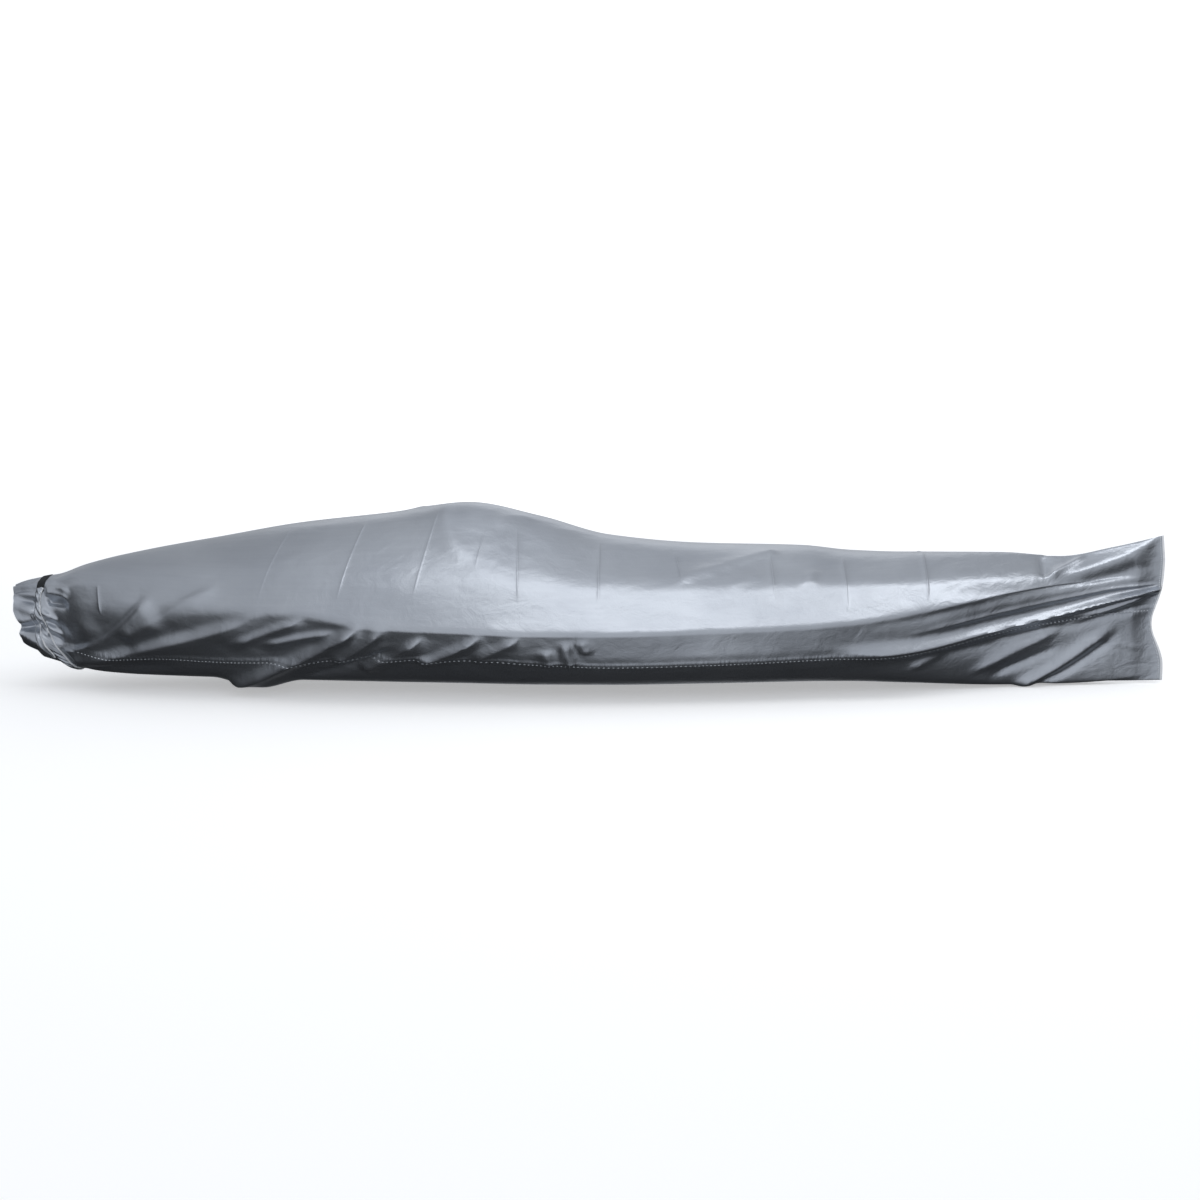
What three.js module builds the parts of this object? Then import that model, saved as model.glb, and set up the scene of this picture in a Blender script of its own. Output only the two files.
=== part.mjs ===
// Kayak cover: a long sock of silver coated polyester, drawn over a kayak and tied at one end.
// Millimetres, +Z up. X runs along the cover: the tied mouth is at -X and the flat sewn end at +X.
// The near side is -Y. The origin is under the middle of the cover, level with its lowest fold.

import * as THREE from 'three';

// Driving sizes
const MOUTH_X = -1735;            // edge of the ruffle beyond the tie
const END_X = 1735;               // line where the two walls are sewn together
const CLOTH = 2;                  // thickness of a cloth sheet
const SEAM_GAP = 0.35;            // between the two panels along a side seam
const END_LIP = 5;                // the inner walls meet this far inside the sewn end
const TIE_X = -1600;              // middle of the tie on the neck
const LEAN_Z = 190;               // height about which the tied neck leans
const WEBBING_WIDTH = 25;
const CASING_WIDTH = 36;
const AIR = 0.4;                  // between a piece and what it lies on

// Stations along the cover. Each row gives half of a section: the height of the crown, the
// y (half width) and z of the shoulder, gunwale, side seam and turn of the bilge, the height of
// the keel, and how far the section leans towards the tie for each millimetre of height.
const STATION_COLUMNS = ['x', 'crown', 'shoulderY', 'shoulderZ', 'gunwaleY', 'gunwaleZ',
  'seamY', 'seamZ', 'turnY', 'turnZ', 'keel', 'lean'];
const STATIONS = [
  [-1735, 302, 56, 280, 92, 220, 84, 165, 50, 132, 118, 0.10],
  [-1680, 316, 58, 288, 92, 216, 86, 150, 54, 104, 88, 0.20],
  [-1600, 331, 58, 300, 86, 214, 80, 130, 50, 68, 48, 0.31],
  [-1560, 338, 68, 306, 100, 218, 90, 126, 56, 58, 42, 0.31],
  [-1480, 366, 98, 326, 148, 232, 126, 120, 72, 51, 38, 0.26],
  [-1300, 412, 145, 358, 215, 255, 168, 118, 96, 46, 37, 0.12],
  [-1100, 451, 185, 382, 268, 268, 210, 112, 122, 44, 36, 0.03],
  [-880, 491, 216, 398, 312, 273, 246, 120, 144, 42, 35, 0],
  [-600, 523, 235, 398, 340, 236, 278, 134, 160, 40, 33, 0],
  [-364, 555, 236, 396, 350, 226, 296, 134, 172, 38, 32, 0],
  [-150, 513, 236, 370, 354, 219, 304, 122, 185, 36, 32, 0],
  [60, 455, 232, 352, 352, 219, 308, 115, 190, 36, 32, 0],
  [330, 430, 222, 346, 333, 224, 300, 120, 180, 38, 32, 0],
  [640, 423, 200, 345, 298, 232, 266, 128, 155, 40, 32, 0],
  [790, 408, 182, 345, 270, 240, 240, 132, 138, 38, 28, 0],
  [940, 403, 162, 346, 238, 255, 205, 142, 120, 32, 22, 0],
  [1240, 403, 104, 358, 158, 300, 108, 186, 66, 21, 15, 0],
  [1420, 391, 62, 352, 94, 314, 64, 206, 40, 24, 13, 0],
  [1580, 419, 32, 372, 46, 314, 34, 224, 22, 40, 6, 0],
  [1735, 454, 4, 384, 4, 302, 4, 228, 4, 72, 8, 0],
];

// How soft each corner of the section is, as pairs of x and the share of the straight run that
// the rounding takes, from 0, sharp, to 0.5, fully round.
const SOFTNESS = {
  keel: [[1000, 0.5], [1400, 0.12]],
  turn: [[0, 0.5]],
  seam: [[-1300, 0.5], [-700, 0.4], [1000, 0.3], [1500, 0.4]],
  gunwale: [[-1350, 0.5], [-1000, 0.26], [-400, 0.14], [1100, 0.14], [1500, 0.3]],
  shoulder: [[-500, 0.45], [0, 0.18], [900, 0.18], [1300, 0.4]],
  crown: [[1000, 0.5], [1400, 0.08]],
};

// Folds of the near side. A fold runs from (x0, s0) to (x1, s1), where s is the distance up the
// cloth from the side seam, and bows by `bow` at its middle. It stands out by `rise` (in where
// negative), falls off over `up` above its crest and `down` below, is rounded where `sharp` is 0
// and creased at 1, and fades in and out over a share of its length. Its width changes by
// `tip` along the way.
const FOLDS = [
  // drag folds that start at the tie and climb to the gunwale
  // x0, s0, x1, s1, bow, rise, up, down, sharp, fadeIn, fadeOut, tip
  [-1580, 2, -1258, 204, -30, 17, 18, 44, 0.4, 0.07, 0.14, 1.5],
  [-1470, 70, -1262, 215, -14, -7, 26, 16, 0.1, 0.3, 0.15, 1],
  [-1385, 67, -1050, 262, -9, 16, 22, 40, 0.3, 0.12, 0.3, 1],
  [-1580, -36, -920, 170, -14, 22, 22, 42, 0.3, 0.06, 0.22, 1],
  [-1578, -69, -1150, -30, 0, -8, 18, 24, 0.1, 0.1, 0.5, 1],
  [-1055, 54, -805, 152, 2, 12, 18, 26, 0.3, 0.25, 0.25, 1],
  [-955, 58, -715, 104, 4, 9, 16, 22, 0.3, 0.25, 0.25, 1],
  [-1085, -92, -640, 132, -15, 24, 22, 36, 0.35, 0.1, 0.16, 1],
  // slack pouch under the hull, and the folds that follow it along the side
  [-1130, -150, -850, -120, 0, 26, 85, 60, 0, 0.45, 0.45, 1],
  [-745, -10, -570, 130, -8, 14, 28, 24, 0.35, 0.15, 0.2, 1],
  [-850, -100, -490, 70, -6, -14, 18, 24, 0.3, 0.2, 0.3, 1],
  [-668, -50, -458, 98, 1, 18, 18, 34, 0.4, 0.1, 0.15, 1],
  [-500, -8, -280, 112, -8, 16, 18, 30, 0.4, 0.12, 0.15, 1],
  [-342, 0, -175, 108, 3, 11, 18, 26, 0.4, 0.2, 0.2, 1],
  [-133, 60, -112, -10, 0, 8, 20, 16, 0.5, 0.3, 0.2, 1],
  [-77, 97, -55, 0, 0, 10, 14, 12, 0.5, 0.35, 0.1, 1],
  [-37, 98, 0, 40, 0, 8, 18, 12, 0.4, 0.35, 0.3, 1],
  // long ridges that gather at the sewn end, where the kayak's tip presses it
  [700, 18, 1735, 68, -21, 24, 24, 22, 0.35, 0.3, 0.02, 0.3],
  [860, 52, 1735, 78, 8, 7, 14, 12, 0.4, 0.35, 0.05, 0.4],
  [700, 95, 1700, 110, 10, -11, 30, 26, 0, 0.35, 0.2, 0.4],
  [950, 174, 1719, 133, -21, -9, 34, 34, 0, 0.35, 0.15, 0.5],
  [1340, 170, 1725, 232, -48, 11, 34, 40, 0.2, 0.35, 0.15, 0.6],
  [1400, -22, 1735, 63, -8, 9, 14, 12, 0.4, 0.3, 0.05, 0.5],
  // folds that cross the hanging lower corner
  [1275, -205, 1600, -30, -10, 15, 22, 22, 0.3, 0.15, 0.3, 0.8],
  [1335, -205, 1610, -62, -10, -11, 14, 18, 0.3, 0.15, 0.3, 0.8],
  [1120, -130, 1450, -10, 0, 12, 22, 18, 0.3, 0.3, 0.3, 0.8],
  [1180, -150, 1430, -75, 0, -10, 14, 16, 0.3, 0.3, 0.3, 0.8],
  [930, -80, 1065, -22, 0, 8, 18, 14, 0.3, 0.35, 0.35, 1],
  // dent in the top before the corner of the sewn end
  [1361, 270, 1349, 160, 0, -11, 16, 26, 0.4, 0.05, 0.2, 1],
  [1360, 158, 1500, 205, 0, 12, 20, 14, 0.5, 0.15, 0.3, 1],
  // slanting ridges on the deck
  [241, 284, 563, 521, 0, 9, 34, 16, 0.3, 0.3, 0.2, 1],
  [403, 250, 505, 300, 0, 3, 26, 14, 0.3, 0.3, 0.3, 1],
  [623, 233, 663, 319, 0, 7, 20, 14, 0.4, 0.3, 0.3, 1],
  // puckers beside the tie
  [-1580, 172, -1500, 140, 8, 12, 14, 12, 0.3, 0.15, 0.25, 1],
  [-1580, 132, -1520, 108, 0, -12, 16, 14, 0.2, 0.2, 0.3, 1],
];

// Gathers of the drawn mouth: how many go round, and their depth along x. BUNCHED crowds them
// together at two places of the round, and WAVER bends them along x, once every WAVER_LENGTH
// times a full turn. Both are in radians.
const GATHERS = 11;
const GATHER_DEPTH = [[-1735, 26], [-1690, 24], [-1640, 12], [-1620, 4], [-1580, 4], [-1560, 8],
  [-1500, 4], [-1400, 0]];
const BUNCHED = 1.6;
const BUNCHED_FROM = 0.7;
const WAVER = 1.1;
const WAVER_LENGTH = 38;

// The far wall has its own folds, shifted along, stretched and a little weaker. FAR_SHARE is
// their share at each place round the section. Towards the sewn end the two walls lie together,
// and the near folds press through to the far side.
const FAR_SHIFT = 85;
const FAR_STRETCH = 1.04;
const FAR_DROP = 6;
const FAR_STRENGTH = 0.9;
const FAR_SHARE = [[0, 0.5], [0.4, 0], [4.6, 0], [5.4, 1], [9.6, 1], [10, 0.5]];
const TOGETHER = [1250, 1550];

// Scalloped line of the sewn end: pulled in at mid height and a little at the upper corner, and
// out at the lower one
const SCALLOP = {
  depth: 30, z: 190, spread: 75, corner: 8, cornerZ: 380, cornerSpan: 70, low: 10, lowZ: 150, lowSpan: 80, from: 1560,
};

// Rows of the grid along x, as runs of [from, to, steps]. The rows round the tie fall on its edges.
const ROWS = [
  [-1735, -1650, 4],
  [-1650, TIE_X - CASING_WIDTH / 2, 2],
  [TIE_X - CASING_WIDTH / 2, TIE_X - WEBBING_WIDTH / 2, 1],
  [TIE_X - WEBBING_WIDTH / 2, TIE_X + WEBBING_WIDTH / 2, 2],
  [TIE_X + WEBBING_WIDTH / 2, TIE_X + CASING_WIDTH / 2, 1],
  [TIE_X + CASING_WIDTH / 2, -1480, 5],
  [-1480, -1000, 12],
  [-1000, -550, 11],
  [-550, 0, 10],
  [0, 700, 8],
  [700, 1300, 11],
  [1300, 1720, 10],
  [1720, END_X, 2],
];
// Steps round the section between keel, turn, seam, gunwale, shoulder and crown
const ROUND_STEPS = [3, 4, 7, 4, 4];

const CORNERS = ['keel', 'turn', 'seam', 'gunwale', 'shoulder', 'crown'];
const SEAM = CORNERS.indexOf('seam');
const CROWN = CORNERS.indexOf('crown');
const ROUND = 2 * CROWN;          // the section is counted 0 to 10, up the near side and down the far

const FIT_ROUNDS = 5;             // rounds that bring a rounded section onto its corners
const GIRTH_SAMPLES = 400;        // points that measure the way round a section
const NUDGE = 0.01;               // step to each side of a place round the section
const CREASE_FALL = 1.6;          // how fast a creased fold falls off beside its crest

const clamp01 = (t) => Math.min(1, Math.max(0, t));
const ease = (t) => clamp01(t) ** 2 * (3 - 2 * clamp01(t));

// Straight-line value at x in a list of [x, value], held beyond its ends
function along(pairs, x) {
  if (x <= pairs[0][0]) return pairs[0][1];
  for (let k = 1; k < pairs.length; k++) {
    const [x0, y0] = pairs[k - 1];
    const [x1, y1] = pairs[k];
    if (x <= x1) return y0 + (y1 - y0) * (x - x0) / (x1 - x0);
  }
  return pairs[pairs.length - 1][1];
}

// Slope of each column at each station: the weighted harmonic mean of the two neighbouring
// slopes, or 0 at a peak, so that a smooth curve through the stations never overshoots
const SLOPES = STATIONS.map((row, i) => row.map((value, k) => {
  const slope = (j) => (STATIONS[j + 1][k] - STATIONS[j][k]) / (STATIONS[j + 1][0] - STATIONS[j][0]);
  if (i === 0) return slope(0);
  if (i === STATIONS.length - 1) return slope(i - 1);
  const before = slope(i - 1);
  const after = slope(i);
  if (before * after <= 0) return 0;
  const h0 = row[0] - STATIONS[i - 1][0];
  const h1 = STATIONS[i + 1][0] - row[0];
  const w0 = 2 * h1 + h0;
  const w1 = h1 + 2 * h0;
  return (w0 + w1) / (w0 / before + w1 / after);
}));

// The sizes at x, by name, on a cubic curve between two stations
function sizesAt(x) {
  let i = 0;
  while (i < STATIONS.length - 2 && x > STATIONS[i + 1][0]) i++;
  const h = STATIONS[i + 1][0] - STATIONS[i][0];
  const t = clamp01((x - STATIONS[i][0]) / h);
  const sizes = {};
  STATION_COLUMNS.forEach((name, k) => {
    sizes[name] = (1 + 2 * t) * (1 - t) ** 2 * STATIONS[i][k] + t * (1 - t) ** 2 * h * SLOPES[i][k]
      + t * t * (3 - 2 * t) * STATIONS[i + 1][k] + t * t * (t - 1) * h * SLOPES[i + 1][k];
  });
  return sizes;
}

// The section at x as ten control corners. They are moved out until the rounded curve passes
// through the sizes of the table.
function cornersAt(x) {
  const c = sizesAt(x);
  const near = [[0, c.keel], [-c.turnY, c.turnZ], [-c.seamY, c.seamZ], [-c.gunwaleY, c.gunwaleZ],
    [-c.shoulderY, c.shoulderZ], [0, c.crown]];
  const mirrored = near.slice(1, CROWN).reverse().map(([y, z]) => [-y, z]);
  const wanted = [...near, ...mirrored];
  const half = CORNERS.map((name) => along(SOFTNESS[name], x));
  const soft = [...half, ...half.slice(1, CROWN).reverse()];
  let points = wanted.map((p) => [...p]);
  for (let round = 0; round < FIT_ROUNDS; round++) {
    points = wanted.map((p, k) => [0, 1].map((a) => {
      const beside = points[(k + ROUND - 1) % ROUND][a] + points[(k + 1) % ROUND][a];
      return (p[a] - 0.25 * soft[k] * beside) / (1 - 0.5 * soft[k]);
    }));
  }
  return { points, soft, lean: c.lean };
}

// Point of the section at v: straight runs between corners, each corner rounded by a parabola
function sectionPoint({ points, soft }, v) {
  const turn = ((v % ROUND) + ROUND) % ROUND;
  const k = Math.round(turn);
  const u = turn - k;
  const here = points[k % ROUND];
  const next = points[(k + 1) % ROUND];
  const last = points[(k + ROUND - 1) % ROUND];
  const f = soft[k % ROUND];
  return [0, 1].map((a) => {
    const toNext = next[a] - here[a];
    const toLast = last[a] - here[a];
    if (Math.abs(u) >= f) return here[a] + (u > 0 ? toNext : toLast) * Math.abs(u);
    const t = 0.5 + 0.5 * u / f;
    return here[a] + f * ((1 - t) ** 2 * toLast + t * t * toNext);
  });
}

// Height of the folds at (x, s)
function foldsAt(x, s) {
  let height = 0;
  for (const [x0, s0, x1, s1, bow, rise, up, down, sharp, fadeIn, fadeOut, tip] of FOLDS) {
    const length = Math.hypot(x1 - x0, s1 - s0);
    const ex = (x1 - x0) / length;
    const es = (s1 - s0) / length;
    const side = Math.sign(ex);
    const t = ((x - x0) * ex + (s - s0) * es) / length;
    if (t <= 0 || t >= 1) continue;
    const off = side * ((s - s0) * ex - (x - x0) * es) - bow * 4 * t * (1 - t);
    const q = Math.abs(off) / ((off > 0 ? up : down) * (1 + (tip - 1) * t));
    const profile = (1 - sharp) * Math.exp(-q * q) + sharp * Math.exp(-CREASE_FALL * q);
    height += rise * profile * ease(t / fadeIn) * ease((1 - t) / fadeOut);
  }
  return height;
}

// Depth of the gathers round the mouth, at a share `turn` of the way round. They are spaced
// unevenly, run straight under the tie and waver in the ruffle beyond it.
function gathersAt(x, turn) {
  const waver = (Math.min(x, TIE_X - CASING_WIDTH / 2) - MOUTH_X) / WAVER_LENGTH;
  const phase = 2 * Math.PI * GATHERS * turn + BUNCHED * Math.sin(4 * Math.PI * turn + BUNCHED_FROM)
    + WAVER * Math.sin(waver + 8 * Math.PI * turn);
  return along(GATHER_DEPTH, x) * 0.5 * (Math.cos(phase) - 1);
}

// One ring of the cover at x. point(v, lift) gives the cloth's outer face, moved out by lift, or
// the smooth form under its folds where `smooth` is set.
function ringAt(x) {
  const section = cornersAt(x);
  const girth = [0];
  let last = sectionPoint(section, 0);
  for (let k = 1; k <= GIRTH_SAMPLES; k++) {
    const p = sectionPoint(section, ROUND * k / GIRTH_SAMPLES);
    girth.push(girth[k - 1] + Math.hypot(p[0] - last[0], p[1] - last[1]));
    last = p;
  }
  const total = girth[GIRTH_SAMPLES];
  const girthAt = (v) => {
    const place = clamp01(v / ROUND) * GIRTH_SAMPLES;
    const k = Math.min(GIRTH_SAMPLES - 1, Math.floor(place));
    return girth[k] + (girth[k + 1] - girth[k]) * (place - k);
  };
  const nearSeam = girthAt(SEAM);
  const farSeam = girthAt(ROUND - SEAM);
  const together = ease((x - TOGETHER[0]) / (TOGETHER[1] - TOGETHER[0]));

  // folds of the near and far charts, blended over the crown and the keel
  const heightAt = (v) => {
    const g = girthAt(v);
    const up = g - nearSeam - (v > ROUND - SEAM ? total : 0);
    const upFar = farSeam - g - (v < SEAM ? total : 0);
    const own = FAR_STRENGTH * foldsAt(x + FAR_SHIFT, FAR_STRETCH * upFar - FAR_DROP);
    const far = (1 - together) * own - together * foldsAt(x, upFar);
    const share = ease(along(FAR_SHARE, v));
    return (1 - share) * foldsAt(x, up) + share * far + gathersAt(x, g / total);
  };

  const ramp = clamp01((x - SCALLOP.from) / (END_X - SCALLOP.from)) ** 2;
  const point = (around, lift, smooth = false) => {
    const v = ((around % ROUND) + ROUND) % ROUND;
    const [y, z] = sectionPoint(section, v);
    const a = sectionPoint(section, v - 2 * NUDGE);
    const b = sectionPoint(section, v + 2 * NUDGE);
    const size = Math.hypot(b[0] - a[0], b[1] - a[1]) || 1;
    const out = smooth ? lift : heightAt(v) + lift;
    const scallop = SCALLOP.depth * Math.exp(-(((z - SCALLOP.z) / SCALLOP.spread) ** 2))
      + SCALLOP.corner * clamp01((z - SCALLOP.cornerZ) / SCALLOP.cornerSpan)
      - SCALLOP.low * clamp01((SCALLOP.lowZ - z) / SCALLOP.lowSpan);
    return new THREE.Vector3(
      x - section.lean * (z - LEAN_Z) - ramp * scallop,
      y - out * (b[1] - a[1]) / size,
      z + out * (b[0] - a[0]) / size,
    );
  };
  // step of v that is `distance` long at v
  const stepAt = (v, distance) => {
    const a = sectionPoint(section, v - NUDGE);
    const b = sectionPoint(section, v + NUDGE);
    return distance * 2 * NUDGE / Math.hypot(b[0] - a[0], b[1] - a[1]);
  };
  return { x, point, stepAt };
}

// Closed sheet between two grids of points, rows along x and columns round the cover. With
// `ring` the columns close on themselves. With `sewn` each wall of the last row is joined to
// the wall across from it.
function sheet(outer, inner, { ring = false, sewn = false } = {}) {
  const rows = outer.length;
  const columns = outer[0].length;
  const positions = [];
  const index = [];
  const id = (layer, i, j) => {
    const column = sewn && i === rows - 1 ? Math.min(j, columns - 1 - j) : j % columns;
    return (layer * rows + i) * columns + column;
  };
  for (const grid of [outer, inner]) {
    grid.forEach((row, i) => row.forEach((p, j) => {
      const across = row[columns - 1 - j];
      const q = sewn && i === rows - 1 ? p.clone().add(across).multiplyScalar(0.5) : p;
      positions.push(q.x, q.y, q.z);
    }));
  }
  const quad = (a, b, c, d) => {
    for (const [p, q, r] of [[a, b, c], [a, c, d]]) {
      if (p !== q && q !== r && r !== p) index.push(p, q, r);
    }
  };
  const spans = ring ? columns : columns - 1;
  for (let i = 0; i < rows - 1; i++) {
    for (let j = 0; j < spans; j++) {
      quad(id(0, i, j), id(0, i + 1, j), id(0, i + 1, j + 1), id(0, i, j + 1));
      quad(id(1, i, j), id(1, i, j + 1), id(1, i + 1, j + 1), id(1, i + 1, j));
    }
    if (!ring) {
      const end = columns - 1;
      quad(id(0, i + 1, 0), id(0, i, 0), id(1, i, 0), id(1, i + 1, 0));
      quad(id(0, i, end), id(0, i + 1, end), id(1, i + 1, end), id(1, i, end));
    }
  }
  for (let j = 0; j < spans; j++) {
    quad(id(0, 0, j), id(0, 0, j + 1), id(1, 0, j + 1), id(1, 0, j));
    if (!sewn) {
      const n = rows - 1;
      quad(id(0, n, j + 1), id(0, n, j), id(1, n, j), id(1, n, j + 1));
    }
  }
  const used = [...new Set(index)].sort((a, b) => a - b);
  const place = new Map(used.map((old, k) => [old, k]));
  const geometry = new THREE.BufferGeometry();
  const kept = used.flatMap((k) => positions.slice(3 * k, 3 * k + 3));
  geometry.setAttribute('position', new THREE.Float32BufferAttribute(kept, 3));
  geometry.setIndex(index.map((k) => place.get(k)));
  geometry.computeVertexNormals();
  return geometry;
}

function piece(name, geometry, material) {
  const mesh = new THREE.Mesh(geometry, material);
  mesh.name = name;
  return mesh;
}

// Evenly stepped values through runs of [from, to, steps]
const steps = (runs) => [runs[0][0], ...runs.flatMap(([from, to, count]) => (
  Array.from({ length: count }, (_, k) => from + (to - from) * (k + 1) / count)))];
const rowsX = steps(ROWS);
const halfRound = steps(ROUND_STEPS.map((count, k) => [k, k + 1, count]));

// The two panels. The inner face ends its last rows short of the sewn line.
function panel(columns) {
  const outer = [];
  const inner = [];
  rowsX.forEach((x, i) => {
    const toEnd = rowsX.length - 1 - i;
    const insideX = toEnd === 0 ? END_X - END_LIP : toEnd === 1 ? (rowsX[i - 1] + END_X - END_LIP) / 2 : x;
    const outside = ringAt(x);
    const inside = ringAt(insideX);
    const first = columns[0] + outside.stepAt(SEAM, SEAM_GAP / 2);
    const at = columns.map((v, j) => {
      if (j === 0) return first;
      return j === columns.length - 1 ? columns[j] + columns[0] - first : v;
    });
    outer.push(at.map((v) => outside.point(v, 0)));
    inner.push(at.map((v) => inside.point(v, -CLOTH)));
  });
  return sheet(outer, inner, { sewn: true });
}

const aboveSeam = halfRound.filter((v) => v >= SEAM);
const belowSeam = halfRound.filter((v) => v <= SEAM);
const deckColumns = [...aboveSeam, ...aboveSeam.slice(0, -1).reverse().map((v) => ROUND - v)];
const hullColumns = [...belowSeam.slice(1).reverse().map((v) => -v), ...belowSeam];

const silver = { color: 0xa6adb6, roughness: 0.45, metalness: 0.35 };
const deckCloth = new THREE.MeshStandardMaterial(silver);
const hullCloth = new THREE.MeshStandardMaterial(silver);
const casingCloth = new THREE.MeshStandardMaterial(silver);
const tailCloth = new THREE.MeshStandardMaterial(silver);
const blackWebbing = new THREE.MeshStandardMaterial({ color: 0x15181a, roughness: 0.8, metalness: 0 });

// Webbing: a flat band once round the neck, on the outer face of both panels
const WEBBING_THICK = 2;
const WEBBING_LOW = AIR;
const WEBBING_HIGH = AIR + WEBBING_THICK;
function webbing() {
  const columns = [...halfRound.slice(0, -1), ...halfRound.slice(1).reverse().map((v) => ROUND - v)];
  const rings = steps([[TIE_X - WEBBING_WIDTH / 2, TIE_X + WEBBING_WIDTH / 2, 2]]).map(ringAt);
  const face = (lift) => rings.map((ring) => columns.map((v) => ring.point(v, lift)));
  return sheet(face(WEBBING_HIGH), face(WEBBING_LOW), { ring: true });
}

// Casing: a gathered strip over the webbing, sewn down on both sides of it. It leaves the
// webbing bare over the top, between CASING_FROM on the near side and its mirror.
const CASING_FROM = CORNERS.indexOf('shoulder');
const CASING_OVER = WEBBING_HIGH + AIR;
const CASING_CLOTH = 1.5;
const CASING_GATHER = 1;
const CASING_PAST = 1;            // beyond each edge of the webbing before it turns down
function casing() {
  const covered = halfRound.filter((v) => v <= CASING_FROM);
  const columns = [...covered.slice(1).reverse().map((v) => -v), ...covered];
  const edge = CASING_WIDTH / 2;
  const crest = WEBBING_WIDTH / 2 + CASING_PAST;
  const profile = [[-edge, AIR], [-crest, CASING_OVER], [0, CASING_OVER], [crest, CASING_OVER], [edge, AIR]];
  const outer = [];
  const inner = [];
  for (const [offset, lift] of profile) {
    const ring = ringAt(TIE_X + offset);
    const puff = lift === CASING_OVER ? CASING_GATHER : 0;
    outer.push(columns.map((v, j) => ring.point(v, lift + CASING_CLOTH + puff * (j % 2))));
    inner.push(columns.map((v) => ring.point(v, lift)));
  }
  return sheet(outer, inner);
}

// Tail: the loose end of the casing, which hangs from the side of the neck over the casing.
// Rows of x offset from the tie, and the place round the section.
const TAIL_PATH = [[-30, 3.35], [-31, 3.0], [-30, 2.65], [-26, 2.3], [-20, 1.95], [-12, 1.6]];
const TAIL_WIDTH = 20;
const TAIL_LIFT = CASING_OVER + CASING_CLOTH + CASING_GATHER + AIR;
function tail() {
  const across = [-1, -0.5, 0, 0.5, 1];
  const down = [...TAIL_PATH].reverse();
  const face = (lift) => across.map((side) => down.map(([offset, v]) => (
    ringAt(TIE_X + offset + side * TAIL_WIDTH / 2).point(v, lift, true))));
  return sheet(face(TAIL_LIFT + CLOTH), face(TAIL_LIFT));
}

const cover = new THREE.Group();
cover.add(
  piece('upper_panel', panel(deckColumns), deckCloth),
  piece('lower_panel', panel(hullColumns), hullCloth),
  piece('tie_webbing', webbing(), blackWebbing),
  piece('tie_casing', casing(), casingCloth),
  piece('tie_tail', tail(), tailCloth),
);

export default cover;
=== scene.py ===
import math

import bpy
import numpy as np
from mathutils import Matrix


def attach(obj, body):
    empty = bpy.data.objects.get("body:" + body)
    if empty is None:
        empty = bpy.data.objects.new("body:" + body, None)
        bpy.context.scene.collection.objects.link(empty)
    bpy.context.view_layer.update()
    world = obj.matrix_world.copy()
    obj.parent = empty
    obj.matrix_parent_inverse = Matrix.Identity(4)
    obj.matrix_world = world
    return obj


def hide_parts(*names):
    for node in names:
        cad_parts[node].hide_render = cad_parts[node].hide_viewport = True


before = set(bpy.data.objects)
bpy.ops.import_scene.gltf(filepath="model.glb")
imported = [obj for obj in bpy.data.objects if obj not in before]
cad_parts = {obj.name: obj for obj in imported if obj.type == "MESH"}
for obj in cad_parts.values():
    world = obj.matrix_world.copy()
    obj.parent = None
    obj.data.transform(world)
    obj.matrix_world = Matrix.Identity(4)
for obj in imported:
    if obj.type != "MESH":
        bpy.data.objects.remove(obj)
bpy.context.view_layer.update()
MM = 0.001    # tables are in millimetres, meshes in metres

# Camera. The photo looks at the side of the cover from a little above, through a normal lens
# about five metres away, so that the cover nearly fills the width of the picture.
AIM = np.array([0.030, 0.0, 0.256])
DISTANCE = 5.050
ELEVATION = math.radians(10)
LENS = 50.0
SENSOR = 36.0

lens = bpy.data.cameras.new("camera")
lens.lens = LENS
lens.sensor_width = SENSOR
lens.clip_end = 60
camera = bpy.data.objects.new("camera", lens)
camera.location = AIM + DISTANCE * np.array([0, -math.cos(ELEVATION), math.sin(ELEVATION)])
camera.rotation_euler = (math.pi / 2 - ELEVATION, 0, 0)
bpy.context.scene.collection.objects.link(camera)
bpy.context.scene.camera = camera

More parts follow.
